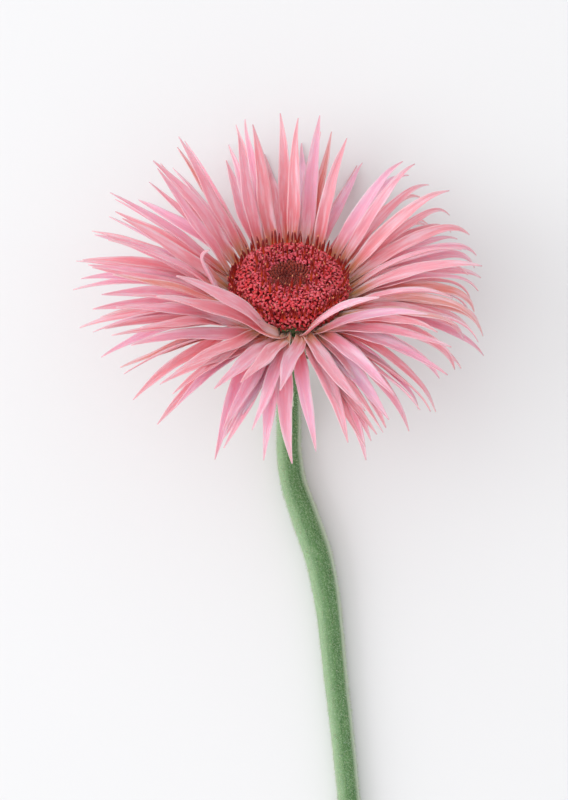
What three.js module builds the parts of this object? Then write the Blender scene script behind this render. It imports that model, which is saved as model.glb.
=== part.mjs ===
// A cut spider gerbera lying on a flat surface: a green stem that flares into the receptacle, the green cup
// of bracts, the cushion of disc florets with its closed buds, and two whorls of narrow pink ray florets.
// Millimetres. +Z is up from the surface, the stem runs towards -Y and the flower head leans towards +Y.
import * as THREE from "three";

// ---- Driving dimensions ----
const HEAD_LEAN = 45; // degrees between the head's own axis and the vertical
const HEAD_HEIGHT = 33; // of the middle of the disc's rim above the surface
const DISC_RADIUS = 17.2;
const DISC_CREST = 6.8; // height of the florets' crest above the rim
const PIT_DEPTH = 3;
const BUD_RADIUS = 5;
const RECEPTACLE_RADIUS = 14;
const RECEPTACLE_TOP = -6.5; // along the head's axis, from the rim
const NECK_DEPTH = 24; // from the rim to where the stem has its own width
const STEM_RUN = 300; // length of stem that lies on the surface
const NECK_DIAMETER = 7.4;
const CUT_DIAMETER = 7.4;
const CUT_SLANT = 0.7; // rise of the slanted cut for each millimetre across it
const RAYS_PER_WHORL = 26;
const RAY_LENGTH = 46;
const RAY_WIDTH = 4.1;
const RAY_THICKNESS = 0.9;
const RAY_CHANNEL = 0.16; // how far a ray's edges stand above its middle, as a share of its width
const ROOT_ANGLE = 32; // degrees at which every ray leaves the receptacle, until it is past the disc's rim
const RIM_CLEARANCE = 1.4;
const BRACT_THICKNESS = 1.4;
const GAP = 0.3; // between pieces that touch

const radians = THREE.MathUtils.degToRad;
const lean = radians(HEAD_LEAN);

// Where the two whorls are rooted: radius and height along the head's axis.
const OUTER_ROOT = [RECEPTACLE_RADIUS, RECEPTACLE_TOP + 1];
const INNER_ROOT = [RECEPTACLE_RADIUS - 0.4, RECEPTACLE_TOP + 2.6];

// The head's own frame has Z along its axis, Y towards its back edge and X across. UP is the vertical in it.
const UP = new THREE.Vector3(0, -Math.sin(lean), Math.cos(lean));
const heightAbove = (point) => HEAD_HEIGHT + point.dot(UP);

/** Spreads a property evenly but without a visible order over numbered pieces, from -1 to 1. */
const vary = (number, stride) => 2 * ((number * stride) % 1) - 1;

/** A smooth value at share (0 to 1) through evenly spaced ones. */
function along(values, share) {
  const curve = new THREE.CatmullRomCurve3(values.map((v, i) => new THREE.Vector3(i, v, 0)));
  return curve.getPoint(THREE.MathUtils.clamp(share, 0, 1)).y;
}

/**
 * A closed body along a path: a cylinder whose rings are moved onto the path's stations.
 * shape(share, x, y) gives the place across, above and along the station for a point of the unit circle.
 */
function loft(stations, sides, shape) {
  const steps = stations.length - 1;
  const geometry = new THREE.CylinderGeometry(1, 1, 1, sides, steps);
  const position = geometry.attributes.position;
  for (let i = 0; i < position.count; i++) {
    const share = position.getY(i) + 0.5;
    const { centre, across, above, ahead } = stations[Math.round(share * steps)];
    const [x, y, z] = shape(share, position.getX(i), position.getZ(i));
    const point = centre.clone().addScaledVector(across, x);
    point.addScaledVector(above, y).addScaledVector(ahead, z);
    position.setXYZ(i, point.x, point.y, point.z);
  }
  return geometry;
}

/** A solid of revolution about the head's axis, from [radius, height] pairs. */
function turned(profile, segments = 36) {
  const points = profile.map(([radius, height]) => new THREE.Vector2(radius, height));
  return new THREE.LatheGeometry(points, segments).rotateX(Math.PI / 2);
}

function piece(name, geometry, color, roughness) {
  const mesh = new THREE.Mesh(geometry, new THREE.MeshStandardMaterial({ color, roughness, metalness: 0 }));
  mesh.name = name;
  return mesh;
}

// ---- Stem and receptacle, which grow as one ----
const STEM_BENDS = [
  [0, 0],
  [9, 1.3],
  [20, 4.9],
  [32, 9],
  [45, 11.6],
  [69, 14.3],
  [106, 18.2],
]; // distance along the surface, sideways
const STEM_TAIL = [0.6, 22.5]; // share of the run, sideways
const STEM_END = [1, 22];
const STEM_RADII = [3.7, 4.3, 3.75, 3.45, 3.35, 3.3, 3.3, 3.35, 3.4, 3.5, 3.6, CUT_DIAMETER / 2];
const RECEPTACLE_STEPS = 6;
const ARC_STEPS = 7;
const RUN_STEPS = 40;

/** Radius and depth of the receptacle at share (0 to 1) of the way from its top down to the neck. */
const flare = (share) => [
  THREE.MathUtils.lerp(RECEPTACLE_RADIUS, NECK_DIAMETER / 2, THREE.MathUtils.smoothstep(share, 0.15, 1)),
  THREE.MathUtils.lerp(RECEPTACLE_TOP, -NECK_DEPTH, share),
];

/** Where a distance along the head's axis lies in the part's frame. */
const onAxis = (height) =>
  new THREE.Vector3(0, height * Math.sin(lean), HEAD_HEIGHT + height * Math.cos(lean));

function stemStations() {
  const stations = [];
  const add = (centre, ahead, radius) => {
    const across = new THREE.Vector3(0, 0, 1).cross(ahead).normalize();
    stations.push({ centre, ahead, across, above: ahead.clone().cross(across).negate(), radius });
  };
  const slope = Math.PI / 2 - lean;
  const heading = (angle) => new THREE.Vector3(0, -Math.cos(angle), -Math.sin(angle));

  for (let i = 0; i < RECEPTACLE_STEPS; i++) {
    const [radius, depth] = flare(i / RECEPTACLE_STEPS);
    add(onAxis(depth), heading(slope), radius);
  }

  const neck = onAxis(-NECK_DEPTH);
  const bend = (neck.z - NECK_DIAMETER / 2) / (1 - Math.cos(slope)); // radius of the arc down to the surface
  const middle = new THREE.Vector3(0, -Math.sin(slope), Math.cos(slope)).multiplyScalar(bend).add(neck);
  for (let i = 0; i < ARC_STEPS; i++) {
    const angle = slope * (1 - i / ARC_STEPS);
    const spoke = new THREE.Vector3(0, Math.sin(angle), -Math.cos(angle)).multiplyScalar(bend);
    add(middle.clone().add(spoke), heading(angle), NECK_DIAMETER / 2);
  }

  const bends = [...STEM_BENDS, [STEM_TAIL[0] * STEM_RUN, STEM_TAIL[1]], [STEM_RUN, STEM_END[1]]];
  const run = new THREE.CatmullRomCurve3(bends.map(([ahead, aside]) => new THREE.Vector3(aside, -ahead, 0)));
  for (let i = 0; i <= RUN_STEPS; i++) {
    const share = i / RUN_STEPS;
    const radius = along(STEM_RADII, share);
    const centre = run.getPointAt(share);
    add(new THREE.Vector3(centre.x, middle.y + centre.y, radius), run.getTangentAt(share), radius);
  }
  return stations;
}

function stem() {
  const stations = stemStations();
  const last = stations.length - 1;
  const geometry = loft(stations, 12, (share, x, y) => {
    const { radius } = stations[Math.round(share * last)];
    const cut = share === 1 ? -CUT_SLANT * radius * y : 0;
    return [radius * x, radius * y, cut];
  });
  return piece("stem", geometry, 0x6f9c66, 0.7);
}

// ---- Cup of bracts, disc cushion and buds ----
function involucre() {
  const inner = [];
  for (let i = 1; i <= RECEPTACLE_STEPS; i++) {
    const [radius, depth] = flare(i / RECEPTACLE_STEPS);
    inner.push([radius + GAP, depth]);
  }
  const outer = inner.map(([radius, height]) => [radius + BRACT_THICKNESS, height]).reverse();
  return piece("involucre", turned([...inner, ...outer, inner[0]]), 0x88a878, 0.75);
}

function discFlorets() {
  const foot = RECEPTACLE_TOP + GAP;
  const pit = BUD_RADIUS + GAP;
  const brow = DISC_RADIUS - 2.2; // where the cushion starts to overhang the inner rays' roots
  const underside = INNER_ROOT[1] + (brow - INNER_ROOT[0]) * Math.tan(radians(ROOT_ANGLE)) + 1.5;
  const up = (share) => THREE.MathUtils.lerp(underside, DISC_CREST, share);
  const profile = [
    [0, foot],
    [INNER_ROOT[0] - 2, foot],
    [INNER_ROOT[0] - 1.7, INNER_ROOT[1] + 0.6],
    [brow, up(0)],
    [DISC_RADIUS, up(0.3)],
    [DISC_RADIUS - 0.7, up(0.5)],
    [DISC_RADIUS - 3, up(0.8)],
    [(DISC_RADIUS + pit) / 2 + 0.6, DISC_CREST],
    [pit + 1.2, DISC_CREST - 0.9],
    [pit, DISC_CREST - PIT_DEPTH],
    [0, DISC_CREST - PIT_DEPTH],
  ];
  return piece("disc_florets", turned(profile), 0xb03a4c, 0.65);
}

function discBuds() {
  const foot = DISC_CREST - PIT_DEPTH + GAP;
  const profile = [
    [0, foot],
    [BUD_RADIUS, foot],
    [BUD_RADIUS * 0.85, foot + 1.1],
    [BUD_RADIUS * 0.45, foot + 1.9],
    [0, foot + 2.1],
  ];
  return piece("disc_buds", turned(profile, 24), 0x6e3330, 0.8);
}

// ---- Ray florets ----
const RAY_OUTLINE = [0.42, 0.6, 0.82, 0.97, 1, 0.9, 0.7, 0.42, 0.08]; // width from root to tip
const RAY_STEPS = 9;
const SUBSTEPS = 4;
const PITCH = 360 / RAYS_PER_WHORL;
const CROWDED_RADIUS = DISC_RADIUS + 6; // where upright rays stand closest together
// The room between neighbours there, in degrees.
const FREE_TURN = PITCH - THREE.MathUtils.radToDeg(RAY_WIDTH / CROWDED_RADIUS);

// The lift, arch and parting change round the head: back runs from 1 at its back edge to -1 at its front,
// and side from -1 at its left edge to 1 at its right. The inner whorl parts to both sides of the stem.
const WHORLS = [
  {
    name: "outer",
    root: OUTER_ROOT,
    shorter: 0,
    turn: 0,
    lift: (back) => 16 - 3 * back - 9 * THREE.MathUtils.smoothstep(-back, 0.6, 1),
    arch: (back, side) => 24 - 20 * back + 14 * side ** 2 + 12 * side,
    parting: 0,
  },
  {
    name: "inner",
    root: INNER_ROOT,
    shorter: 2,
    turn: 0.5,
    lift: (back) => 50 + 12 * back - 26 * THREE.MathUtils.smoothstep(-back, 0.8, 1),
    arch: (back, side) => 16 - 6 * back + 16 * side ** 2 + 12 * side,
    parting: 16,
  },
];

/** The settings of one ray: angles in degrees, azimuth counted from +X towards the head's back edge. */
function rayOf(whorl, number) {
  const azimuth = PITCH * (number + whorl.turn) + 0.8 * FREE_TURN * vary(number + whorl.turn, 0.618);
  const back = Math.sin(radians(azimuth));
  const side = Math.cos(radians(azimuth));
  const parted = whorl.parting * Math.sign(side) * THREE.MathUtils.smoothstep(-back, 0.2, 0.8);
  return {
    azimuth,
    root: whorl.root,
    length: RAY_LENGTH - whorl.shorter - side + 3 * vary(number, 0.755),
    width: RAY_WIDTH * (1 + 0.1 * vary(number, 0.569)),
    lift: whorl.lift(back) + 6 * vary(number, 0.445),
    arch: whorl.arch(back, side) + 8 * vary(number, 0.297),
    sweep: parted + 10 * vary(number, 0.382),
    twist: 24 * vary(number, 0.834),
  };
}

/** Walks along a ray from its root, arching as it goes and sliding along the surface where it meets it. */
function rayStations({ azimuth, root, length, lift, arch, sweep, twist }) {
  const lowest = RAY_THICKNESS / 2 + 0.1;
  const stride = length / (RAY_STEPS * SUBSTEPS);
  const outward = radians(azimuth);
  const point = new THREE.Vector3(root[0] * Math.cos(outward), root[0] * Math.sin(outward), root[1]);
  const rooted = (DISC_RADIUS + RIM_CLEARANCE - root[0]) / Math.cos(radians(ROOT_ANGLE)) / length;
  const stations = [];
  for (let i = 0; i <= RAY_STEPS * SUBSTEPS; i++) {
    const share = i / (RAY_STEPS * SUBSTEPS);
    const rise = THREE.MathUtils.smoothstep(share, 0.45 * rooted, 1.15 * rooted);
    const angle = radians(THREE.MathUtils.lerp(ROOT_ANGLE, lift, rise) - arch * share ** 1.3);
    const heading = outward + radians(sweep * share);
    const ahead = new THREE.Vector3(
      Math.cos(heading) * Math.cos(angle),
      Math.sin(heading) * Math.cos(angle),
      Math.sin(angle),
    );
    if (i % SUBSTEPS === 0) {
      const across = new THREE.Vector3(Math.sin(heading), -Math.cos(heading), 0);
      across.applyAxisAngle(ahead, radians(twist * share));
      stations.push({ centre: point.clone(), ahead, across, above: across.clone().cross(ahead) });
    }
    point.addScaledVector(ahead, stride);
    const sunk = lowest - heightAbove(point);
    if (sunk > 0) point.addScaledVector(UP, sunk);
  }
  return stations;
}

function rayFloret(whorl, number) {
  const ray = rayOf(whorl, number);
  const geometry = loft(rayStations(ray), 4, (share, x, y) => {
    const halfWidth = (ray.width / 2) * along(RAY_OUTLINE, share);
    const halfThickness = (RAY_THICKNESS / 2) * (1 - 0.5 * share ** 4);
    return [halfWidth * x, halfThickness * y + 2 * RAY_CHANNEL * halfWidth * x * x, 0];
  });
  const label = `ray_${whorl.name}_${String(number + 1).padStart(2, "0")}`;
  return piece(label, geometry, 0xe295a4, 0.55);
}

// ---- Assembly ----
const head = new THREE.Group();
head.position.z = HEAD_HEIGHT;
head.rotation.x = -lean;
head.add(involucre(), discFlorets(), discBuds());
for (const whorl of WHORLS) {
  for (let number = 0; number < RAYS_PER_WHORL; number++) head.add(rayFloret(whorl, number));
}

const flower = new THREE.Group();
flower.add(stem(), head);

// The part's origin is the middle of its footprint on the surface.
const extent = new THREE.Box3().setFromObject(flower, true);
const footprint = extent.getCenter(new THREE.Vector3());
flower.position.set(-footprint.x, -footprint.y, -extent.min.z);

export default flower;
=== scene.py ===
"""A cut spider gerbera that lies on a pale table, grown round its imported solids."""

import math

import bmesh
import bpy
import numpy as np
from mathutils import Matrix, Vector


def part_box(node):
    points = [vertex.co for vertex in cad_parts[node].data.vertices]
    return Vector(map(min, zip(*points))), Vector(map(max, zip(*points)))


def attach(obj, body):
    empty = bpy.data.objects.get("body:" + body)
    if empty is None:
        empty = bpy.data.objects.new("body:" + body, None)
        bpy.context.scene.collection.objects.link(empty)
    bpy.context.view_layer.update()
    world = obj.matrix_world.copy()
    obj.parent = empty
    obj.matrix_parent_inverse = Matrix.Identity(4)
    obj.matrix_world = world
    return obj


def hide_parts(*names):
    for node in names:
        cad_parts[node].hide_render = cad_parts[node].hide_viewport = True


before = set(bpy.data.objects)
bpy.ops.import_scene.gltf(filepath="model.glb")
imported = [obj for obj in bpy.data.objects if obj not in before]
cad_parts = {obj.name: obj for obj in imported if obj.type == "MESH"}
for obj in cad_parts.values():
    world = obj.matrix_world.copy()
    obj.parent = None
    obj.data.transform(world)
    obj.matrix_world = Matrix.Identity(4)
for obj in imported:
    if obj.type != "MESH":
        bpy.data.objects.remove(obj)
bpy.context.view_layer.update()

# ---------------------------------------------------------------- sizes, in millimetres and degrees
MM = 0.001
HEAD_LEAN = 45
HEAD_HEIGHT = 33
DISC_RADIUS = 17.2
DISC_CREST = 6.8
PIT_DEPTH = 3
BUD_RADIUS = 5
RECEPTACLE_RADIUS = 14
RECEPTACLE_TOP = -6.5
NECK_DEPTH = 24
NECK_DIAMETER = 7.4
CUT_DIAMETER = 7.4
CUT_SLANT = 0.7
STEM_RUN = 300
RAYS_PER_WHORL = 26
RAY_LENGTH = 46
RAY_WIDTH = 4.1
RAY_THICKNESS = 0.9
ROOT_ANGLE = 32
RIM_CLEARANCE = 1.4
PETAL_THICKNESS = 0.34
GOLDEN = math.pi * (3 - math.sqrt(5))  # the turn from one floret to the next, in radians

chance = np.random.default_rng(20240607)

# ---------------------------------------------------------------- the head's place and its own frame
# In the head's frame Z is its axis, Y points to its back edge and X across. The stem's receptacle ends in a
# flat ring whose highest point along Y gives the head's place.
lean = math.radians(HEAD_LEAN)
AXIS = np.array([0, math.sin(lean), math.cos(lean)])
BACK = np.array([0, math.cos(lean), -math.sin(lean)])
ACROSS = np.array([1.0, 0, 0])
UP = np.array([0, -math.sin(lean), math.cos(lean)])
disc_low, disc_high = (np.array(corner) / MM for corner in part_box("disc_florets"))
stem_low, stem_high = (np.array(corner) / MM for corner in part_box("stem"))
ring_reach = RECEPTACLE_TOP * math.sin(lean) + RECEPTACLE_RADIUS * math.cos(lean)
HEAD = np.array([(disc_low[0] + disc_high[0]) / 2, stem_high[1] - ring_reach, HEAD_HEIGHT + stem_low[2]])


def placed(points):
    """Points of the head's frame, in the part's."""
    points = np.asarray(points)
    return HEAD + points[..., :1] * ACROSS + points[..., 1:2] * BACK + points[..., 2:] * AXIS


# ---------------------------------------------------------------- small sums
def vary(number, stride):
    """Spreads a property evenly but without a visible order over numbered pieces, from -1 to 1."""
    return 2 * ((number * stride) % 1) - 1


def ease(value, low, high):
    """0 below low, 1 above high and smooth between."""
    share = np.clip((np.asarray(value, float) - low) / (high - low), 0, 1)
    return share * share * (3 - 2 * share)


def mixed(a, b, share):
    return a + (b - a) * share


def unit(vectors):
    return vectors / np.linalg.norm(vectors, axis=-1, keepdims=True)


def curve_point(points, shares):
    """Points at shares (0 to 1) of a centripetal Catmull-Rom curve through points."""
    points = np.asarray(points, float)
    ends = [2 * points[0] - points[1], 2 * points[-1] - points[-2]]
    points = np.vstack([ends[0], points, ends[1]])
    place = np.clip(shares, 0, 1) * (len(points) - 3)
    first = np.minimum(place.astype(int), len(points) - 4)
    weight = (place - first)[:, None]
    a, b, c, d = (points[first + k] for k in range(4))
    gap = [np.linalg.norm(q - p, axis=1, keepdims=True) ** 0.5 for p, q in ((a, b), (b, c), (c, d))]
    leave = ((b - a) / gap[0] - (c - a) / (gap[0] + gap[1]) + (c - b) / gap[1]) * gap[1]
    arrive = ((c - b) / gap[1] - (d - b) / (gap[1] + gap[2]) + (d - c) / gap[2]) * gap[1]
    square = -3 * b + 3 * c - 2 * leave - arrive
    cube = 2 * b - 2 * c + leave + arrive
    return b + leave * weight + square * weight**2 + cube * weight**3


def along(values, shares):
    """Smooth values at shares (0 to 1) through evenly spaced ones."""
    return curve_point([(i, v) for i, v in enumerate(values)], np.asarray(shares, float))[:, 1]


# ---------------------------------------------------------------- meshes
def skin(rings):
    """Points and faces of closed bodies, each lofted through its rings: (body, ring, point, xyz)."""
    bodies, steps, sides, _ = rings.shape
    ring, side = np.meshgrid(np.arange(steps - 1), np.arange(sides), indexing="ij")
    beside = (side + 1) % sides
    walls = np.stack([ring * sides + side, ring * sides + beside,
                      (ring + 1) * sides + beside, (ring + 1) * sides + side], axis=-1).reshape(-1, 4)
    caps = [np.arange(sides)[::-1], np.arange(sides) + (steps - 1) * sides]
    faces = []
    for body in range(bodies):
        shift = body * steps * sides
        faces += (walls + shift).tolist() + [(cap + shift).tolist() for cap in caps]
    return rings.reshape(-1, 3), faces


def piece(name, rings, material, marks=None, replaces=()):
    """One object on the flower's body, from rings in millimetres; marks are values kept at its points."""
    points, faces = skin(rings if rings.ndim == 4 else rings[None])
    mesh = bpy.data.meshes.new(name)
    mesh.from_pydata((points * MM).tolist(), [], faces)
    for mark, values in (marks or {}).items():
        values = np.broadcast_to(values, rings.shape[:-1]).ravel()
        mesh.attributes.new(mark, "FLOAT", "POINT").data.foreach_set("value", values.astype(np.float32))
    shell = bmesh.new()
    shell.from_mesh(mesh)
    bmesh.ops.recalc_face_normals(shell, faces=shell.faces)
    shell.to_mesh(mesh)
    shell.free()
    mesh.shade_smooth()
    made = bpy.data.objects.new(name, mesh)
    bpy.context.scene.collection.objects.link(made)
    mesh.materials.append(material)
    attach(made, "root")
    if replaces:
        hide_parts(*replaces)
    return made


def blades(paths, half_width, above, columns, thickness):
    """
    Rings of thin blades along paths of centre, across and up, each (body, step, xyz).
    half_width is (body, step). above(x, share) is the height of the upper face over the path, and x runs
    from -1 to 1 across it.
    """
    centre, across, up = paths
    steps = centre.shape[1]
    x = np.linspace(-1, 1, columns)
    share = np.linspace(0, 1, steps)[:, None]
    top = above(x, share)
    bottom = top - thickness * (1 - 0.6 * x**2) * (1 - 0.45 * share**3)
    x = np.concatenate([x, x[::-1]])
    height = np.concatenate([np.broadcast_to(top, bottom.shape), bottom[..., ::-1]], axis=-1)
    out = (half_width[..., None] * x)[..., None] * across[:, :, None]
    return centre[:, :, None] + out + height[..., None] * up[:, :, None]


def rods(start, end, foot_radius, tip_radius, sides=3, bend=0.0, steps=2):
    """Rings of thin rods from start to end, each (body, xyz), bowed sideways by bend millimetres."""
    start, end = np.atleast_2d(start), np.atleast_2d(end)
    ahead = unit(end - start)
    helper = np.where(np.abs(ahead[:, :1]) < 0.8, [[1.0, 0, 0]], [[0, 1.0, 0]])
    across = unit(np.cross(ahead, helper))
    up = np.cross(across, ahead)
    share = np.linspace(0, 1, steps)[None, :, None]
    centre = mixed(start[:, None], end[:, None], share)
    centre = centre + bend * np.sin(np.pi * share * 0.5) ** 2 * across[:, None]
    radius = mixed(np.reshape(foot_radius, (-1, 1)), np.reshape(tip_radius, (-1, 1)), share[..., 0])
    turn = np.linspace(0, 2 * np.pi, sides, endpoint=False)
    spoke = np.cos(turn)[:, None] * across[:, None, None] + np.sin(turn)[:, None] * up[:, None, None]
    return centre[:, :, None] + radius[..., None, None] * spoke


# ---------------------------------------------------------------- materials
def linear(red, green, blue):
    """A colour as it is mixed by eye, 0 to 255, in the shader's linear light."""
    shares = [c / 255 for c in (red, green, blue)]
    return (*(s / 12.92 if s <= 0.04045 else ((s + 0.055) / 1.055) ** 2.4 for s in shares), 1)


class Value:
    """A socket's value: sums on it add Math nodes to its paint."""

    def __init__(self, paint, socket):
        self.paint, self.socket = paint, socket

    def sum(self, operation, *others):
        sockets = dict(enumerate((self, *others)))
        return self.paint.node("ShaderNodeMath", {"operation": operation}, sockets)

    def __add__(self, other):
        return self.sum("ADD", other)

    def __mul__(self, other):
        return self.sum("MULTIPLY", other)

    __radd__, __rmul__ = __add__, __mul__

    def __sub__(self, other):
        return self.sum("SUBTRACT", other)

    def __rsub__(self, other):
        return self * -1 + other

    def __abs__(self):
        return self.sum("ABSOLUTE")

    def sine(self):
        return self.sum("SINE")

    def eased(self, low, high):
        """0 below low, 1 above high and smooth between."""
        settings = {"interpolation_type": "SMOOTHSTEP"}
        return self.paint.node("ShaderNodeMapRange", settings, {"Value": self, 1: low, 2: high})


class Paint:
    """One material: a Principled shader and the nodes that feed it."""

    def __init__(self, name, **finish):
        self.material = bpy.data.materials.new(name)
        self.material.use_nodes = True
        self.tree = self.material.node_tree
        self.shader = self.tree.nodes["Principled BSDF"]
        for socket, value in finish.items():
            self.shader.inputs[socket.replace("_", " ")].default_value = value

    def node(self, kind, settings=None, sockets=None, result=0):
        """Adds a node, sets it up, feeds its sockets and gives its output number result."""
        made = self.tree.nodes.new(kind)
        for key, value in (settings or {}).items():
            setattr(made, key, value)
        for key, value in (sockets or {}).items():
            self.feed(made.inputs[key], value)
        return Value(self, made.outputs[result])

    def feed(self, socket, value):
        if isinstance(value, Value):
            self.tree.links.new(value.socket, socket)
        else:
            socket.default_value = value

    def mark(self, name):
        """The value that the mesh keeps at its points under this name."""
        return self.node("ShaderNodeAttribute", {"attribute_name": name}, result=2)

    def place(self):
        """The place on the piece, in metres."""
        return self.node("ShaderNodeTexCoord", result=3)

    def point(self, x=0.0, y=0.0, z=0.0):
        return self.node("ShaderNodeCombineXYZ", sockets={0: x, 1: y, 2: z})

    def noise(self, place, scale, detail=3.0, roughness=0.55):
        sockets = {"Vector": place, "Scale": scale, "Detail": detail, "Roughness": roughness}
        return self.node("ShaderNodeTexNoise", {"noise_dimensions": "3D"}, sockets)

    def blend(self, share, first, second):
        """The first colour where share is 0 and the second where it is 1."""
        sockets = {0: share, 6: first, 7: second}
        return self.node("ShaderNodeMix", {"data_type": "RGBA"}, sockets, result=2)

    def finish(self, colour, roughness=None, bump=None, depth=0.1, strength=0.5):
        """Feeds the shader; depth is the bump's height in millimetres."""
        self.feed(self.shader.inputs["Base Color"], colour)
        if roughness is not None:
            self.feed(self.shader.inputs["Roughness"], roughness)
        if bump is not None:
            sockets = {"Height": bump, "Distance": depth * MM, "Strength": strength}
            self.feed(self.shader.inputs["Normal"], self.node("ShaderNodeBump", sockets=sockets))
        return self.material


def petal_skin():
    """Thin matt petal: tan at the root, rose along the blade and faint veins, with a deeper coral towards
    the root that is painted shade, pale edges that are a painted highlight and pale patches that are painted
    highlights.
    """
    paint = Paint("petal_skin", Subsurface_Weight=0.6, Subsurface_Scale=0.002,
                  Subsurface_Radius=(1.0, 0.34, 0.34), Specular_IOR_Level=0.28,
                  Sheen_Weight=0.1, Sheen_Roughness=0.5)
    share, across, tint, under = (paint.mark(m) for m in ("along", "across", "tint", "under"))
    edge = abs(across)
    cloud = paint.noise(paint.point(across * 1.2, share * 2.4, tint * 40), 1.6)
    fibre = paint.noise(paint.point(across * 9, share * 1.6, tint * 23), 1.5, detail=4.0)
    veins = (across * 15 + cloud * 1.4).sine() * 0.5 + 0.5
    rose = paint.blend(tint.eased(0.2, 0.85), linear(235, 154, 164), linear(237, 166, 186))
    rose = paint.blend(tint.eased(0.8, 1.0), rose, linear(236, 171, 196))
    rose = paint.blend(1 - tint.eased(0.03, 0.06), rose, linear(216, 148, 138))
    # Painted shade: the deeper coral towards the root stands in for the shade inside the head.
    coral = paint.blend(tint, linear(228, 104, 108), linear(230, 116, 128))
    colour = paint.blend(share.eased(0.12, 0.6), coral, rose)
    colour = paint.blend((1 - share.eased(0.14, 0.34)) * 0.85, colour, linear(204, 150, 98))
    colour = paint.blend(share.eased(0.78, 1.0) * 0.6, colour, linear(222, 164, 170))
    # Painted highlights: pale lavender patches laid over the blade by the cloud noise.
    colour = paint.blend(cloud.eased(0.42, 0.7) * 0.62, colour, linear(246, 210, 222))
    # Painted highlight: the pale band along both edges of the blade.
    colour = paint.blend(edge.eased(0.8, 1.0) * 0.48, colour, linear(252, 214, 218))
    colour = paint.blend((1 - edge.eased(0.0, 0.14)) * 0.22, colour, linear(250, 186, 196))
    colour = paint.blend(veins * fibre * 0.2, colour, linear(212, 96, 114))
    colour = paint.blend(under * 0.4, colour, linear(236, 172, 180))
    relief = veins * 0.5 + fibre * 0.7
    return paint.finish(colour, 0.5 + fibre * 0.18, relief, depth=0.08, strength=0.45)


def stem_skin():
    """Velvety green skin with fine streaks, and pale where it is cut; its left flank is paler with painted
    light and its right edge with a painted sheen.
    """
    paint = Paint("stem_skin", Subsurface_Weight=0.12, Subsurface_Scale=0.0012,
                  Subsurface_Radius=(0.5, 1.0, 0.4), Specular_IOR_Level=0.25,
                  Sheen_Weight=1.0, Sheen_Roughness=0.3, Sheen_Tint=(0.95, 1, 0.92, 1))
    place, share, cut = paint.place(), paint.mark("along"), paint.mark("cut")
    turn = paint.mark("turn")
    streak = paint.noise(paint.point(turn * 5, share * 30, 2.0), 2.4, detail=4.0)
    speck = paint.noise(place, 2100.0, detail=2.0)
    cloud = paint.noise(place, 60.0)
    colour = paint.blend(streak.eased(0.3, 0.72), linear(68, 108, 62), linear(98, 136, 86))
    colour = paint.blend(cloud.eased(0.4, 0.72) * 0.4, colour, linear(96, 134, 86))
    # Painted light: the left half of the stem grows paler towards its left edge.
    colour = paint.blend((turn * -1).eased(0.0, 1.0) * 0.6, colour, linear(168, 194, 158))
    # Painted sheen: a pale rim along the stem's right edge.
    colour = paint.blend(turn.eased(0.62, 0.98) * 0.8, colour, linear(204, 216, 196))
    colour = paint.blend(speck.eased(0.46, 0.7) * 0.45, colour, linear(158, 184, 148))
    colour = paint.blend(share.eased(0.82, 1.0) * 0.45, colour, linear(150, 176, 112))
    colour = paint.blend(cut.eased(0.02, 0.2), colour, linear(176, 196, 132))
    colour = paint.blend(cut.eased(0.25, 0.6), colour, linear(222, 226, 186))
    rings = (cut * 34).sine() * 0.5 + 0.5
    pith = cut.eased(0.1, 0.3) * (speck.eased(0.55, 0.7) * 0.5 + rings * 0.2)
    colour = paint.blend(pith, colour, linear(150, 166, 104))
    relief = streak * 1.2 + speck * 0.5
    return paint.finish(colour, 0.58 + speck * 0.22, relief, depth=0.16, strength=0.6)


def bract_skin():
    """Matt bract: fibrous green, paler along its edges and a little brown at its tip."""
    paint = Paint("bract_skin", Subsurface_Weight=0.1, Subsurface_Scale=0.001,
                  Sheen_Weight=0.5, Sheen_Roughness=0.4, Specular_IOR_Level=0.25)
    share, across, tint = (paint.mark(m) for m in ("along", "across", "tint"))
    edge = abs(across)
    fibre = paint.noise(paint.point(across * 9, share * 3, tint * 31), 2.0, detail=4.0)
    colour = paint.blend(fibre.eased(0.3, 0.7), linear(112, 146, 92), linear(152, 178, 128))
    colour = paint.blend(edge.eased(0.45, 1.0) * 0.6, colour, linear(190, 206, 172))
    colour = paint.blend(share.eased(0.75, 1.0) * 0.6, colour, linear(150, 116, 96))
    colour = paint.blend(tint.eased(0.6, 1.0) * 0.3, colour, linear(170, 190, 150))
    return paint.finish(colour, 0.62 + fibre * 0.2, fibre, depth=0.14)


def down_hair():
    """Fine pale hair."""
    paint = Paint("pale_down", Roughness=0.6, Subsurface_Weight=0.2, Subsurface_Scale=0.0005)
    speck = paint.noise(paint.place(), 500.0)
    return paint.finish(paint.blend(speck, linear(172, 198, 160), linear(216, 226, 204)), 0.5 + speck * 0.2)


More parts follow.
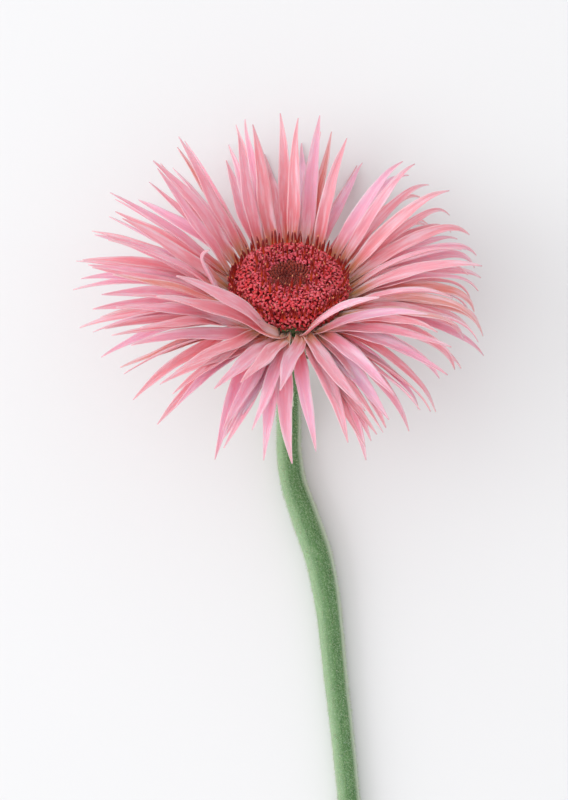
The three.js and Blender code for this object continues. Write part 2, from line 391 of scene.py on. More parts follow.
def floret_skin():
    """Curled corolla: a dark red throat and red to pink lobes, duller by the pit, darker at the rim with
    painted shade, and paler at the lobes' curled ends with a painted highlight.
    """
    paint = Paint("floret_skin", Subsurface_Weight=0.15, Subsurface_Scale=0.0007,
                  Subsurface_Radius=(1.0, 0.3, 0.35), Specular_IOR_Level=0.4)
    share, tint, rim = (paint.mark(m) for m in ("along", "tint", "rim"))
    fibre = paint.noise(paint.place(), 1500.0, detail=2.0)
    lobe = paint.blend(tint.eased(0.1, 0.9), linear(230, 52, 58), linear(243, 110, 124))
    lobe = paint.blend((1 - rim.eased(0.08, 0.4)) * 0.6, lobe, linear(216, 92, 118))
    # Painted shade: the florets darken towards the disc's rim.
    lobe = paint.blend(rim.eased(0.64, 0.92) * 0.7, lobe, linear(164, 38, 38))
    colour = paint.blend(share.eased(0.1, 0.5), linear(168, 36, 44), lobe)
    # Painted highlight: the lobes' curled ends turn pale pink.
    colour = paint.blend(share.eased(0.75, 1.0) * 0.5, colour, linear(250, 176, 176))
    colour = paint.blend(fibre.eased(0.55, 0.75) * 0.4, colour, linear(244, 146, 156))
    return paint.finish(colour, 0.38 + fibre * 0.25, fibre, depth=0.08)


def cushion_skin():
    """The floor of the disc between its florets, pale green where it runs in under the rim."""
    paint = Paint("cushion_skin", Specular_IOR_Level=0.2)
    low = paint.mark("low")
    grain = paint.noise(paint.place(), 900.0)
    colour = paint.blend(grain.eased(0.35, 0.7), linear(166, 38, 46), linear(216, 80, 88))
    colour = paint.blend(low, colour, linear(150, 164, 116))
    return paint.finish(colour, 0.7 + grain * 0.2, grain, depth=0.4)


def style_skin():
    """Anther tubes and styles: orange red below and dark maroon above, some with a pale tip."""
    paint = Paint("style_skin", Subsurface_Weight=0.08, Subsurface_Scale=0.0005, Specular_IOR_Level=0.45)
    share, tint = paint.mark("along"), paint.mark("tint")
    streak = paint.noise(paint.place(), 1800.0, detail=2.0)
    stalk = paint.blend(tint, linear(222, 92, 34), linear(176, 40, 32))
    colour = paint.blend(share.eased(0.4, 0.85), stalk, linear(132, 22, 28))
    colour = paint.blend(share.eased(0.9, 0.98) * tint.eased(0.45, 0.6), colour, linear(230, 150, 104))
    colour = paint.blend(streak.eased(0.55, 0.8) * 0.25, colour, linear(214, 96, 60))
    return paint.finish(colour, 0.35 + streak * 0.25, streak, depth=0.05)


def bud_skin():
    """Closed buds, dark red brown with a dusty bloom."""
    paint = Paint("bud_skin", Sheen_Weight=0.3, Specular_IOR_Level=0.25)
    share, tint = paint.mark("along"), paint.mark("tint")
    bloom = paint.noise(paint.place(), 1200.0)
    colour = paint.blend(tint, linear(128, 30, 26), linear(172, 58, 42))
    colour = paint.blend(share.eased(0.5, 1.0) * 0.5, colour, linear(146, 66, 52))
    colour = paint.blend(bloom.eased(0.5, 0.75) * 0.35, colour, linear(166, 96, 72))
    return paint.finish(colour, 0.7 + bloom * 0.2, bloom, depth=0.1)


def pollen_grain():
    """Pollen, gold to cream."""
    paint = Paint("pollen_grain", Roughness=0.5, Subsurface_Weight=0.1, Subsurface_Scale=0.0004)
    tint = paint.mark("tint")
    speck = paint.noise(paint.place(), 900.0)
    colour = paint.blend(tint, linear(236, 178, 110), linear(252, 222, 204))
    return paint.finish(paint.blend(speck * 0.3, colour, linear(214, 130, 90)), 0.45 + speck * 0.2)


def table_top():
    """The plain pale table under the flower."""
    paint = Paint("table_top", Specular_IOR_Level=0.15)
    grain = paint.noise(paint.place(), 6.0)
    colour = paint.blend(grain, linear(228, 229, 231), linear(231, 232, 234))
    return paint.finish(colour, 0.8 + grain * 0.1)


PETAL, STEM, BRACT, DOWN = petal_skin(), stem_skin(), bract_skin(), down_hair()
FLORET, CUSHION, STYLE, BUD, POLLEN = floret_skin(), cushion_skin(), style_skin(), bud_skin(), pollen_grain()


# ---------------------------------------------------------------- petals
PITCH = 360 / RAYS_PER_WHORL
CROWDED_RADIUS = DISC_RADIUS + 6
FREE_TURN = PITCH - math.degrees(RAY_WIDTH / CROWDED_RADIUS)
OUTLINE = (0.42, 0.6, 0.82, 0.97, 1, 0.9, 0.7, 0.42, 0.08)
PETAL_STEPS = 36
PETAL_COLUMNS = 9
TIP_FROM = 0.72  # share of a petal's length where its tip begins to curl
SWUNG_BY = 0.24  # share of its length by which a parted petal has turned aside
OUTER_ROOT = (RECEPTACLE_RADIUS, RECEPTACLE_TOP + 1)
INNER_ROOT = (RECEPTACLE_RADIUS - 0.4, RECEPTACLE_TOP + 2.6)
LOWER_ROOT = (RECEPTACLE_RADIUS, RECEPTACLE_TOP + 1.6)
MIDDLE_ROOT = (RECEPTACLE_RADIUS - 0.1, RECEPTACLE_TOP + 1.85)
UPPER_ROOT = (RECEPTACLE_RADIUS - 0.2, RECEPTACLE_TOP + 2.1)

# The outer and inner whorls are the solid rays' own, and the three between them only petals. A whorl's lift
# and arch change round the head: back runs from 1 at its back edge to -1 at its front, and side from -1 at
# its left edge to 1 at its right. broad is a width next to the solid rays', and twist the most that a blade
# turns along its length. droop bends the tips down on the right, crowd draws petals towards both sides, and
# parting bends those at the front away from the stem.
WHORLS = (
    {"name": "outer", "rays": RAYS_PER_WHORL, "root": OUTER_ROOT, "turn": 0, "shorter": 0,
     "crowd": 0, "parting": 0, "broad": 1, "twist": 24, "droop": 18,
     "lift": lambda back: 16 - 3 * back - 9 * ease(-back, 0.6, 1),
     "arch": lambda back, side: 24 - 20 * back + 14 * side**2 + 12 * side},
    {"name": "inner", "rays": RAYS_PER_WHORL, "root": INNER_ROOT, "turn": 0.5, "shorter": 2,
     "crowd": 0, "parting": 16, "broad": 1, "twist": 24, "droop": 18,
     "lift": lambda back: 50 + 12 * back - 26 * ease(-back, 0.8, 1),
     "arch": lambda back, side: 16 - 6 * back + 16 * side**2 + 12 * side},
    {"name": "lower", "rays": 22, "root": LOWER_ROOT, "turn": 0.27, "shorter": 0,
     "crowd": 9, "parting": 18, "broad": 0.92, "twist": 58, "droop": 42,
     "lift": lambda back: 26 - 6 * back - 14 * ease(-back, 0.6, 1),
     "arch": lambda back, side: 24 - 16 * back + 16 * side**2 + 16 * side},
    {"name": "middle", "rays": 20, "root": MIDDLE_ROOT, "turn": 0.5, "shorter": 0,
     "crowd": 18, "parting": 20, "broad": 0.84, "twist": 70, "droop": 48,
     "lift": lambda back: 32 + 4 * back - 18 * ease(-back, 0.6, 1),
     "arch": lambda back, side: 22 - 13 * back + 17 * side**2 + 14 * side},
    {"name": "upper", "rays": 23, "root": UPPER_ROOT, "turn": 0.74, "shorter": 1,
     "crowd": 9, "parting": 16, "broad": 0.92, "twist": 58, "droop": 42,
     "lift": lambda back: 38 + 12 * back - 22 * ease(-back, 0.8, 1),
     "arch": lambda back, side: 20 - 10 * back + 18 * side**2 + 16 * side},
)

# The petals at the front that part to both sides of the stem, and one at the left that curls over the rest.
# swing turns a petal aside as soon as it is past the disc's rim, and tint chooses its shade.
STRAY_SETTINGS = ("azimuth", "swing", "lift", "arch", "length", "width", "twist", "tint")
STRAY_PETALS = (
    (256, -66, 60, 30, 43, 5.4, -16, 0.5),
    (264, -76, 42, 22, 46, 5.8, 10, 0.3),
    (236, -44, 40, 34, 47, 4.8, 0, 0.6),
    (247, -44, 28, 26, 46, 4.6, 0, 0.8),
    (255, -34, 20, 20, 46, 4.4, 0, 0.2),
    (262, -22, 22, 12, 42, 4.6, 0, 0.7),
    (268, -19, 26, 8, 42, 4.4, 0, 0.45),
    (265, 0, 4, 32, 47, 4.8, 0, 0.75),
    (284, 3, 12, 36, 45, 4.4, 12, 0.5),
    (288, 7, 5, 26, 45, 4.6, -14, 0.65),
    (296, 2, 20, 50, 45, 4.4, 10, 0.4),
    (281, -23, 20, 6, 38, 4.6, 0, 0.85),
    (283, 42, 62, 28, 42, 4.6, 10, 0.7),
    (292, 44, 48, 34, 45, 4.8, 0, 1.0),
    (300, 32, 36, 40, 47, 4.8, 0, 0.6),
    (306, 18, 28, 44, 46, 4.6, 0, 0.9),
    (291, 10, 14, 26, 45, 4.8, 0, 1.0),
    (198, -34, 52, -30, 28, 3.6, 30, 0.85),
)
STRAY_EXTRAS = {8: {"sweep": 16}, 18: {"curl": 70}}  # a sideways bend, and a tip that curls up


def ray_of(whorl, number):
    """The settings of one petal, by the same sums as the solid rays', but for the curl of its tip."""
    pitch = 360 / whorl["rays"]
    place = number + whorl["turn"]
    azimuth = pitch * place + 0.8 * FREE_TURN * pitch / PITCH * vary(place, 0.618)
    azimuth -= whorl["crowd"] * math.sin(math.radians(2 * azimuth))
    back, side = math.sin(math.radians(azimuth)), math.cos(math.radians(azimuth))
    parted = whorl["parting"] * math.copysign(float(ease(-back, 0.2, 0.8)), side)
    return {
        "azimuth": azimuth,
        "root": whorl["root"],
        "length": RAY_LENGTH - whorl["shorter"] - side + 3 * vary(number, 0.755),
        "width": RAY_WIDTH * (whorl["broad"] + 0.1 * vary(number, 0.569)),
        "lift": float(whorl["lift"](back)) + 6 * vary(number, 0.445),
        "arch": whorl["arch"](back, side) + 8 * vary(number, 0.297),
        "sweep": parted + 10 * vary(number, 0.382),
        "twist": whorl["twist"] * vary(number, 0.834),
        "curl": -whorl["droop"] * float(ease(side, 0.1, 0.9)),
    }


def ray_path(ray):
    """Walks along a petal from its root, arching as it goes and sliding on the table where it meets it."""
    azimuth, (radius, height), length = math.radians(ray["azimuth"]), ray["root"], ray["length"]
    point = np.array([radius * math.cos(azimuth), radius * math.sin(azimuth), height], float)
    rooted = (DISC_RADIUS + RIM_CLEARANCE - radius) / math.cos(math.radians(ROOT_ANGLE)) / length
    centre, across, up = [], [], []
    for step in range(PETAL_STEPS + 1):
        share = step / PETAL_STEPS
        rise = float(ease(share, 0.45 * rooted, 1.15 * rooted))
        tip = float(ease(share, TIP_FROM, 1))
        angle = mixed(ROOT_ANGLE, ray["lift"], rise) - ray["arch"] * share**1.3 + ray.get("curl", 0) * tip
        angle = math.radians(angle)
        swing = ray.get("swing", 0) * float(ease(share, 0.3 * rooted, SWUNG_BY))
        heading = azimuth + math.radians(ray.get("sweep", 0) * share + swing)
        flat = math.cos(angle)
        ahead = np.array([math.cos(heading) * flat, math.sin(heading) * flat, math.sin(angle)])
        aside = np.array([math.sin(heading), -math.cos(heading), 0])
        twist = math.radians(ray["twist"] * share)
        aside = aside * math.cos(twist) + np.cross(ahead, aside) * math.sin(twist)
        centre.append(point.copy())
        across.append(aside)
        up.append(np.cross(aside, ahead))
        point += ahead * length / PETAL_STEPS
        sunk = RAY_THICKNESS / 2 + 0.1 - (HEAD_HEIGHT + point @ UP)
        if sunk > 0:
            point += UP * sunk
    return np.array([centre]), np.array([across]), np.array([up])


def petal(name, ray, tint, replaces=()):
    """One petal: a thin channelled blade with ribs, its edges a little wavy."""
    fold, wave, phase = chance.uniform(0.3, 0.62), chance.uniform(0.05, 0.2), chance.uniform(0, 6.28)
    ribs, lean_out = chance.uniform(0.03, 0.07), chance.uniform(-0.16, 0.16)
    share = np.linspace(0, 1, PETAL_STEPS + 1)
    half_width = ray["width"] / 2 * along(OUTLINE, share) * (1 + 0.035 * np.sin(share * 23 + phase))
    centre, across, up = ray_path(ray)
    drift = 0.35 * np.sin(share * 7 + phase) * ease(share, 0.15, 0.5)
    centre = centre + drift[:, None] * across

    def above(x, share):
        half = half_width[:, None]
        keel = half * (fold + 0.5 * (1 - ease(share, 0, 0.3)) + 0.3 * ease(share, 0.75, 1))
        channel = keel * (np.sqrt(x * x + 0.035) - 0.187) + lean_out * half * x
        ripple = wave * half * x * np.abs(x) * np.sin(share * 15 + phase + 1.3 * x)
        rib = ribs * np.cos(x * 10.5) * np.sin(np.pi * share) ** 0.5
        return channel + ripple + rib

    rings = blades((centre, across, up), half_width[None], above, PETAL_COLUMNS, PETAL_THICKNESS)
    x = np.linspace(-1, 1, PETAL_COLUMNS)
    marks = {
        "along": share[:, None],
        "across": np.concatenate([x, x[::-1]])[None, :],
        "tint": tint,
        "under": np.repeat([0.0, 1.0], PETAL_COLUMNS)[None, :],
    }
    return piece(name, placed(rings)[0], PETAL, marks, replaces)


def petals():
    for whorl in WHORLS:
        for number in range(whorl["rays"]):
            label = f"{whorl['name']}_{number + 1:02d}"
            solid = (f"ray_{label}",) if f"ray_{label}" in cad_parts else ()
            petal(f"petal_{label}", ray_of(whorl, number), chance.random(), solid)
    for number, settings in enumerate(STRAY_PETALS, 1):
        stray = dict(zip(STRAY_SETTINGS, settings), root=UPPER_ROOT, **STRAY_EXTRAS.get(number, {}))
        petal(f"petal_stray_{number:02d}", stray, stray["tint"])


petals()


# ---------------------------------------------------------------- stem
STEM_BENDS = ((0, 0), (9, 1.3), (20, 4.9), (32, 9), (45, 11.6), (69, 14.3), (106, 18.2))
STEM_TAIL = (0.6, 22.5)  # share of the run, and how far aside
CUT_ASIDE = 22
STEM_RADII = (3.7, 4.3, 3.75, 3.45, 3.35, 3.3, 3.3, 3.35, 3.4, 3.5, 3.6, CUT_DIAMETER / 2)
STEM_SIDES = 40
FLARE_STEPS = 24
NECK_STEPS = 24
RUN_STEPS = 220
WALK_STEPS = 3000  # fine enough to measure the run by
CUT_FACE = ((0.94, -0.12), (0.8, 0.1), (0.66, 0.28), (0.4, 0.36), (0.08, 0.5))  # share of the rim, and dip
STEM_HAIRS = 27000
HAIR_FOOT = 0.037  # radii
HAIR_TIP = 0.014


def flare(share):
    """Radius and depth of the receptacle at share (0 to 1) of the way from its top down to the neck."""
    return (mixed(RECEPTACLE_RADIUS, NECK_DIAMETER / 2, ease(share, 0.15, 1)),
            mixed(RECEPTACLE_TOP, -NECK_DEPTH, share))


def stem_line():
    """The stem's centre line with its radii: the receptacle, the neck's arc and the run along the table."""
    slope = math.pi / 2 - lean
    radii, depths = flare(np.linspace(0, 1, FLARE_STEPS, endpoint=False))
    flared = HEAD + depths[:, None] * AXIS
    neck = HEAD - NECK_DEPTH * AXIS
    bend = (neck[2] - NECK_DIAMETER / 2) / (1 - math.cos(slope))
    middle = neck + bend * np.array([0, -math.sin(slope), math.cos(slope)])
    angles = slope * (1 - np.linspace(0, 1, NECK_STEPS, endpoint=False))
    arc = middle + bend * np.stack([np.zeros(NECK_STEPS), np.sin(angles), -np.cos(angles)], axis=1)
    bends = [*STEM_BENDS, (STEM_TAIL[0] * STEM_RUN, STEM_TAIL[1]), (STEM_RUN, CUT_ASIDE)]
    fine = curve_point([(aside, -ahead) for ahead, aside in bends], np.linspace(0, 1, WALK_STEPS))
    walked = np.concatenate([[0], np.cumsum(np.linalg.norm(np.diff(fine, axis=0), axis=1))])
    share = np.linspace(0, 1, RUN_STEPS)
    run = np.stack([np.interp(share * walked[-1], walked, fine[:, k]) for k in range(2)], axis=1)
    run_radii = along(STEM_RADII, share)
    run = np.column_stack([HEAD[0] + run[:, 0], middle[1] + run[:, 1], run_radii])
    line = np.vstack([flared, arc, run])
    return line, np.concatenate([radii, np.full(NECK_STEPS, NECK_DIAMETER / 2), run_radii])


def stem_frame(line):
    """Directions along the stem, across it level with the table, and up from it."""
    ahead = unit(np.gradient(line, axis=0))
    across = unit(np.cross([0, 0, 1], ahead))
    return ahead, across, np.cross(ahead, across)


def stem():
    """One skin from the receptacle to the slanted cut, whose face dips a little round its pith."""
    line, radii = stem_line()
    ahead, across, up = stem_frame(line)
    turn = np.linspace(0, 2 * np.pi, STEM_SIDES, endpoint=False)
    share = np.linspace(0, 1, len(line))[:, None]
    ridges = 0.05 * np.sin(turn * 9 + 3 * np.sin(share * 9)) + 0.04 * np.sin(turn * 14 - share * 25)
    bumps = 0.06 * np.sin(share * 140 + 2 * np.sin(turn)) * np.sin(share * 37)
    radius = radii[:, None] + (ridges + bumps - 0.08) * ease(share, 0.08, 0.12)
    spoke = np.cos(turn)[:, None] * across[:, None] + np.sin(turn)[:, None] * up[:, None]
    rings = line[:, None] + radius[..., None] * spoke
    last = rings[-1] - line[-1]
    rings[-1] -= CUT_SLANT * (last @ up[-1])[:, None] * ahead[-1]
    rim = rings[-1] - line[-1]
    cut, marks_cut = [], []
    for reach, dip in CUT_FACE:
        cut.append(line[-1] + reach * rim - dip * ahead[-1])
        marks_cut.append(1 - reach)
    rings = np.concatenate([rings, cut])
    marks = {
        "along": np.concatenate([share[:, 0], np.ones(len(cut))])[:, None],
        "cut": np.concatenate([np.zeros(len(line)), marks_cut])[:, None],
        "turn": np.cos(turn)[None, :],
    }
    piece("stem_skin", rings, STEM, marks, ("stem",))
    return line, radii, ahead, across, up


stem_path = stem()


def stem_down():
    """Short hairs all over the stem below the bracts, leaning towards the cut and clear of the table."""
    line, radii, ahead, across, up = stem_path
    spot = chance.integers(FLARE_STEPS + 6, len(line) - 2, STEM_HAIRS)
    shift = chance.uniform(0, 1, STEM_HAIRS)[:, None]
    turn = chance.uniform(0, 2 * np.pi, STEM_HAIRS)[:, None]
    centre = mixed(line[spot], line[spot + 1], shift)
    outward = np.cos(turn) * across[spot] + np.sin(turn) * up[spot]
    foot = centre + outward * (radii[spot][:, None] - 0.1)
    reach = chance.uniform(0.3, 0.8, STEM_HAIRS)[:, None]
    lay = unit(outward + 0.35 * ahead[spot] + chance.normal(0, 0.3, (STEM_HAIRS, 3)))
    tip = foot + lay * reach
    clear = tip[:, 2] > 0.05
    piece("stem_down", rods(foot[clear], tip[clear], HAIR_FOOT, HAIR_TIP), DOWN)


stem_down()


# ---------------------------------------------------------------- bracts
# Each row's number of bracts, where their feet and tips lie as shares of the way down the receptacle, and by
# what share of a bract the row is turned.
BRACT_ROWS = ((19, 0.96, -0.17, 0.0), (17, 0.98, 0.16, 0.5), (15, 1.0, 0.5, 0.25))
BRACT_WIDTH = 4.6
BRACT_THICKNESS = 0.42
BRACT_LIFT = 0.4  # of its upper face over its path, under the ribs
BRACT_HAIR_FOOT = 0.04
BRACT_OUTLINE = (0.95, 1, 1.05, 0.98, 0.76, 0.44, 0.06)
BRACT_STEPS = 16
BRACT_COLUMNS = 7
HAIRS_PER_BRACT = 34
NECK_SCALE_STATION = 33  # the stem line's point where the dry scale grows
NECK_SCALE_LENGTH = 4.6
NECK_SCALE_STEPS = 12
NECK_SCALE_OUTLINE = (0.5, 0.9, 1, 0.7, 0.15)


def bracts():
    """Three overlapping rows of pointed bracts that follow the receptacle from the neck up to the rays."""
    share = np.linspace(0, 1, BRACT_STEPS)
    all_rings, tints, hairs = [], [], []
    for row, (number, foot, tip, turn) in enumerate(BRACT_ROWS):
        for k in range(number):
            azimuth = 2 * math.pi * (k + turn + 0.16 * vary(k, 0.618)) / number
            spread = chance.uniform(0.5, 1.6) + 0.5 * row
            down = mixed(foot, tip + 0.05 * vary(k, 0.445), share)
            radius, depth = flare(down)
            radius = radius + 0.2 + (0.6 + 0.4 * row) * ease(share, 0, 0.4) + spread * ease(share, 0.6, 1)
            outward = np.array([math.cos(azimuth), math.sin(azimuth), 0])
            centre = radius[:, None] * outward + depth[:, None] * np.array([0, 0, 1])
            ahead = unit(np.gradient(centre, axis=0))
            across = np.tile([math.sin(azimuth), -math.cos(azimuth), 0], (BRACT_STEPS, 1))
            up = np.cross(across, ahead)
            half = BRACT_WIDTH / 2 * along(BRACT_OUTLINE, share) * np.interp(radius, (4, 15), (0.42, 1))
            hug = half**2 / (2 * radius)
            rings = blades((centre[None], across[None], up[None]), half[None],
                           lambda x, share: BRACT_LIFT - hug[:, None] * x * x + 0.12 * np.cos(x * 9),
                           BRACT_COLUMNS, BRACT_THICKNESS)
            all_rings.append(rings[0])
            tints.append(chance.random())
            for _ in range(HAIRS_PER_BRACT):
                at, side = chance.integers(2, BRACT_STEPS - 1), chance.uniform(-1, 1)
                root = centre[at] + side * half[at] * across[at] + (0.36 - hug[at] * side**2) * up[at]
                lay = unit(up[at] * 0.9 + 0.5 * ahead[at] + side * across[at] + chance.normal(0, 0.3, 3))
                hairs.append((root, root + lay * chance.uniform(0.5, 1.1)))
    x = np.linspace(-1, 1, BRACT_COLUMNS)
    marks = {
        "along": share[None, :, None],
        "across": np.concatenate([x, x[::-1]])[None, None, :],
        "tint": np.array(tints)[:, None, None],
    }
    piece("bracts", placed(np.array(all_rings)), BRACT, marks, ("involucre",))
    hairs = placed(np.array(hairs))
    piece("bract_down", rods(hairs[:, 0], hairs[:, 1], BRACT_HAIR_FOOT, HAIR_TIP), DOWN)


def neck_scale():
    """One dry, pale scale that is left on the neck and curls off it."""
    line, radii, ahead, across, up = stem_path
    at = NECK_SCALE_STATION
    outward = 0.28 * across[at] + 0.96 * up[at]
    share = np.linspace(0, 1, NECK_SCALE_STEPS)[:, None]
    foot = line[at] + (radii[at] - 0.1) * outward
    curl = 0.25 * np.sin(share * 7) + 1.3 * share**3
    centre = foot + NECK_SCALE_LENGTH * share * ahead[at] + curl * outward
    forward = unit(np.gradient(centre, axis=0))
    aside = np.tile(unit(np.cross(outward, ahead[at])), (NECK_SCALE_STEPS, 1))
    half = 0.75 * along(NECK_SCALE_OUTLINE, share[:, 0])
    path = (centre[None], aside[None], np.cross(aside, forward)[None])
    rings = blades(path, half[None], lambda x, share: 0.5 * x * x, columns=5, thickness=0.16)
    piece("neck_scale", rings[0], DOWN)


bracts()
neck_scale()


# ---------------------------------------------------------------- disc
PIT_RADIUS = BUD_RADIUS - 0.6
DOME = (
    (PIT_RADIUS, DISC_CREST - PIT_DEPTH),
    (PIT_RADIUS + 1.2, DISC_CREST - 0.9),
    ((DISC_RADIUS + PIT_RADIUS) / 2 + 0.6, DISC_CREST),
    (DISC_RADIUS - 3, DISC_CREST - 1.7),
    (DISC_RADIUS - 0.7, DISC_CREST - 4.2),
    (DISC_RADIUS, DISC_CREST - 5.8),
    (DISC_RADIUS - 1, DISC_CREST - 7.8),
)
DOME_STEPS = 200  # fine enough to measure the cushion by
CUSHION_STEPS = 26
CUSHION_SIDES = 72
FLORETS = 500
FLORETS_FROM = 0.055  # share of the dome where the first ones stand, at the pit's edge
FLORET_ROOT = 1.1  # how far below the cushion's outline they start
THROAT_FOOT = 0.2  # radii
THROAT_MOUTH = 0.26
FLORET_REACH = 0.9  # how far the open florets' lobes stand out of the cushion that carries them
LOBE_HALF_WIDTHS = (0.16, 0.26, 0.32, 0.34, 0.32, 0.25, 0.1)
LOBE_STEPS = len(LOBE_HALF_WIDTHS)
# Number, the two shares of the dome they stand between, least and greatest height, and radius.
STYLE_GROUPS = {
    "rim": (96, 0.72, 0.88, 4.8, 7.4, 0.33),
    "pit": (44, 0.05, 0.24, 4.6, 7.2, 0.31),
    "scattered": (130, 0.16, 0.8, 2.4, 4.2, 0.24),
}
STYLE_SWELL = (0.8, 0.85, 0.95, 1.15, 1.1, 0.35)
BUDS = 150
BUD_SWELL = (0.6, 1, 1.25, 1.3, 0.9, 0.2)
BUD_BRISTLES = 420
POLLEN_GRAINS = 620
POLLEN_SWELL = (0.7, 1.8, 1.8, 0.6)


def dome(share):
    """Points and outward directions in the cushion's section, from the pit (0) to the rim (1)."""
    share = np.asarray(share, float)
    at = curve_point(DOME, share)
    before = curve_point(DOME, np.maximum(share - 0.01, 0))
    after = curve_point(DOME, np.minimum(share + 0.01, 1))
    step = unit(after - before)
    out = np.stack([-step[:, 1], step[:, 0]], axis=1)
    return at - FLORET_REACH * out, out


def round_axis(section, azimuth):
    """Section pairs (outward, along the axis) turned to azimuths."""
    radius, height = section.T
    return np.stack([radius * np.cos(azimuth), radius * np.sin(azimuth), height], axis=1)


def swollen(rings, swell):
    """Rods whose rings are scaled round their middles by swell, one number for each ring."""
    middle = rings.mean(axis=2, keepdims=True)
    return middle + (rings - middle) * np.array(swell)[None, :, None, None]


def cushion():
    """The floor that carries the florets, turned round the head's axis."""
    at, out = dome(np.linspace(1, 0, CUSHION_STEPS))
    at = at - 0.7 * out
    seat = RECEPTACLE_TOP + 0.3
    foot = [(0.05, seat), (RECEPTACLE_RADIUS - 2.4, seat), (DISC_RADIUS - 3.6, -2)]
    section = np.vstack([foot, at, [(0.05, DISC_CREST - PIT_DEPTH - 1.2)]])
    turn = np.linspace(0, 2 * np.pi, CUSHION_SIDES, endpoint=False)
    rings = np.stack([round_axis(np.tile(s, (CUSHION_SIDES, 1)), turn) for s in section])
    low = (np.arange(len(section)) < len(foot) + 1)[:, None]
    piece("disc_cushion", placed(rings), CUSHION, {"low": low}, ("disc_florets",))


def spots(count, low, high):
    """Shares of the dome and azimuths that cover it evenly, in a sunflower's order."""
    fine = np.linspace(0, 1, DOME_STEPS)
    at, _ = dome(fine)
    area = np.concatenate([[0], np.cumsum(np.hypot(*np.diff(at, axis=0).T) * at[1:, 0])])
    wanted = mixed(low, high, (np.arange(count) + 0.5) / count) * area[-1]
    return np.interp(wanted, area, fine), np.arange(count) * GOLDEN


def florets():
    """Small curled corollas: each has a short throat and lobes that roll outward."""
    share, azimuth = spots(FLORETS, FLORETS_FROM, 1)
    at, out = dome(share)
    root = round_axis(at - FLORET_ROOT * out, azimuth)
    out = unit(round_axis(out, azimuth) + chance.normal(0, 0.12, (FLORETS, 3)) + [0, 0, 0.35])
    tints = chance.random(FLORETS)
    height = chance.uniform(1.0, 1.9, FLORETS)
    lobes, marks_tint, marks_rim = [], [], []
    for k in range(FLORETS):
        helper = unit(np.cross(out[k], [0.3, 0.2, 0.9]))
        other = np.cross(out[k], helper)
        number = 4 if k % 3 else 5
        for lobe in range(number):
            turn = 2 * math.pi * (lobe + chance.uniform(-0.2, 0.2)) / number + k
            aside = math.cos(turn) * helper + math.sin(turn) * other
            roll = math.radians(chance.uniform(100, 210))
            size = chance.uniform(0.42, 0.78)
            angle = np.linspace(0, roll, LOBE_STEPS)
            rise = height[k] + size * np.sin(angle)
            reach = THROAT_MOUTH + size * (1 - np.cos(angle))
            rise[0] = 0
            reach[0] = THROAT_FOOT
            centre = root[k] + rise[:, None] * out[k] + reach[:, None] * aside
            ahead = unit(np.gradient(centre, axis=0))
            across = np.tile(np.cross(out[k], aside), (LOBE_STEPS, 1))
            half = np.array(LOBE_HALF_WIDTHS) * chance.uniform(0.75, 1.25)
            path = (centre[None], across[None], np.cross(across, ahead)[None])
            rings = blades(path, half[None], lambda x, share: 0.12 * x * x, columns=3, thickness=0.13)
            lobes.append(rings[0])
            marks_tint.append(0.6 * tints[k] + 0.4 * chance.random())
            marks_rim.append(share[k])
    marks = {
        "along": np.linspace(0, 1, LOBE_STEPS)[None, :, None],
        "tint": np.array(marks_tint)[:, None, None],
        "rim": np.array(marks_rim)[:, None, None],
    }
    piece("disc_florets_open", placed(np.array(lobes)), FLORET, marks)


def rod_marks(count, steps):
    """How far along each rod its rings are, and a tint of its own."""
    return {"along": np.linspace(0, 1, steps)[None, :, None], "tint": chance.random(count)[:, None, None]}


def styles():
    """Anther tubes that stand round the rim and the pit, some with a pale tip, and short ones between."""
    steps = len(STYLE_SWELL)
    for label, (count, low, high, short, tall, radius) in STYLE_GROUPS.items():
        share, azimuth = spots(count, low, high)
        share = np.clip(share + chance.normal(0, 0.012, count), 0, 1)
        at, out = dome(share)
        foot = round_axis(at - 1.2 * out, azimuth)
        lean_out = round_axis(out * [0.35, 0.2], azimuth)
        lay = unit(lean_out + [0, 0, 1] + chance.normal(0, 0.09, (count, 3)))
        height = chance.uniform(short, tall, count)[:, None]
        size = radius * chance.uniform(0.75, 1.2, count)
        rings = rods(foot, foot + lay * height, size * 0.8, size, sides=6, bend=0.22, steps=steps)
        rings = swollen(rings, STYLE_SWELL)
        piece(f"styles_{label}", placed(rings), STYLE, rod_marks(count, steps))


def buds():
    """The closed buds in the pit, with the brown bristles that stand among them."""
    steps = len(BUD_SWELL)
    radius = (BUD_RADIUS + 0.9) * np.sqrt((np.arange(BUDS) + 0.5) / BUDS)
    azimuth = np.arange(BUDS) * GOLDEN
    floor = DISC_CREST - PIT_DEPTH + 0.1
    height = floor + 1.2 - 0.9 * np.cos(np.pi * np.minimum(radius / BUD_RADIUS, 1.2))
    foot = round_axis(np.stack([radius, height - 0.9], axis=1), azimuth)
    lay = unit(round_axis(np.stack([radius * 0.05, np.ones(BUDS)], axis=1), azimuth))
    tip = foot + lay * chance.uniform(1.1, 1.6, BUDS)[:, None]
    rings = swollen(rods(foot, tip, 0.3, 0.3, sides=6, steps=steps), BUD_SWELL)
    piece("closed_buds", placed(rings), BUD, rod_marks(BUDS, steps), ("disc_buds",))
    radius = BUD_RADIUS * np.sqrt(chance.random(BUD_BRISTLES))
    azimuth = chance.uniform(0, 2 * np.pi, BUD_BRISTLES)
    height = floor + 1.3 * (1 - (radius / BUD_RADIUS) ** 2)
    foot = round_axis(np.stack([radius, height], axis=1), azimuth)
    lay = unit(chance.normal(0, 0.4, (BUD_BRISTLES, 3)) + [0, 0, 1])
    marks = {"along": 0.4, "tint": chance.random(BUD_BRISTLES)[:, None, None]}
    tip = foot + lay * chance.uniform(0.6, 1.5, (BUD_BRISTLES, 1))
    piece("bud_bristles", placed(rods(foot, tip, 0.05, 0.02)), BUD, marks)


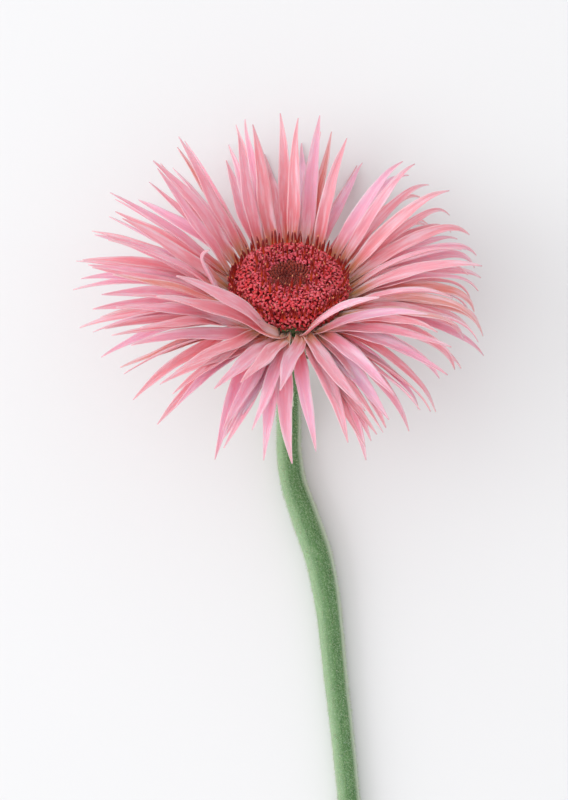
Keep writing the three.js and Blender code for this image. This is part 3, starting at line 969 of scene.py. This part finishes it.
def pollen():
    """Grains of pollen and pale stigma tips that catch the light between the florets."""
    share, azimuth = spots(POLLEN_GRAINS, 0.02, 1)
    azimuth = azimuth + chance.normal(0, 0.05, POLLEN_GRAINS)
    at, out = dome(share)
    middle = round_axis(at + out * chance.uniform(0.1, 1.1, (POLLEN_GRAINS, 1)), azimuth)
    lay = unit(chance.normal(0, 1, (POLLEN_GRAINS, 3)))
    size = chance.uniform(0.07, 0.17, POLLEN_GRAINS)
    half = lay * size[:, None]
    rings = rods(middle - half, middle + half, size * 0.5, size * 0.5, sides=5, steps=len(POLLEN_SWELL))
    tints = chance.random(POLLEN_GRAINS)[:, None, None]
    piece("pollen", placed(swollen(rings, POLLEN_SWELL)), POLLEN, {"tint": tints})


cushion()
florets()
styles()
buds()
pollen()


# ---------------------------------------------------------------- table, light and camera
TABLE_REACH = 60.0  # metres from its middle to its edges
SKY_COLOUR = (1, 0.99, 0.985, 1)
SKY_STRENGTH = 0.84
KEY_PLACE = (-0.75, 0.45, 1.0)  # metres
WINDOW_PLACE = (-1.3, 0.1, 0.7)  # metres
CAMERA_FROM_HEAD = (-1.4, -31.4, 500)
CAMERA_LENS = 78.9
SENSOR_WIDTH = 36


def table():
    """A flat top that runs far past the view on every side."""
    mesh = bpy.data.meshes.new("table")
    corners = [(x * TABLE_REACH, y * TABLE_REACH, 0) for x, y in ((-1, -1), (1, -1), (1, 1), (-1, 1))]
    mesh.from_pydata(corners, [], [(0, 1, 2, 3)])
    mesh.materials.append(table_top())
    made = bpy.data.objects.new("table", mesh)
    bpy.context.scene.collection.objects.link(made)


def sky():
    """An even pale light from all round."""
    world = bpy.data.worlds.new("studio")
    world.use_nodes = True
    background = world.node_tree.nodes["Background"]
    background.inputs["Color"].default_value = SKY_COLOUR
    background.inputs["Strength"].default_value = SKY_STRENGTH
    bpy.context.scene.world = world


def lamp(name, kind, place, settings):
    """A soft light that faces the flower."""
    light = bpy.data.lights.new(name, kind)
    for key, value in settings.items():
        setattr(light, key, value)
    made = bpy.data.objects.new(name, light)
    made.location = place
    aim = np.array(place) - HEAD * MM
    made.rotation_euler = (math.acos(aim[2] / np.linalg.norm(aim)), 0, math.atan2(aim[0], -aim[1]))
    bpy.context.scene.collection.objects.link(made)


def camera():
    """A camera that looks straight down from over the neck, a little nearer the cut than the head."""
    lens = bpy.data.cameras.new("camera")
    lens.lens = CAMERA_LENS
    lens.sensor_width = SENSOR_WIDTH
    made = bpy.data.objects.new("camera", lens)
    made.location = (HEAD + np.array(CAMERA_FROM_HEAD)) * MM
    bpy.context.scene.collection.objects.link(made)
    bpy.context.scene.camera = made


table()
sky()
lamp("key", "SUN", KEY_PLACE, {"energy": 0.8, "angle": math.radians(75)})
lamp("left_window", "AREA", WINDOW_PLACE, {"energy": 9, "size": 1.2})
camera()
bpy.context.scene.view_settings.view_transform = "Standard"
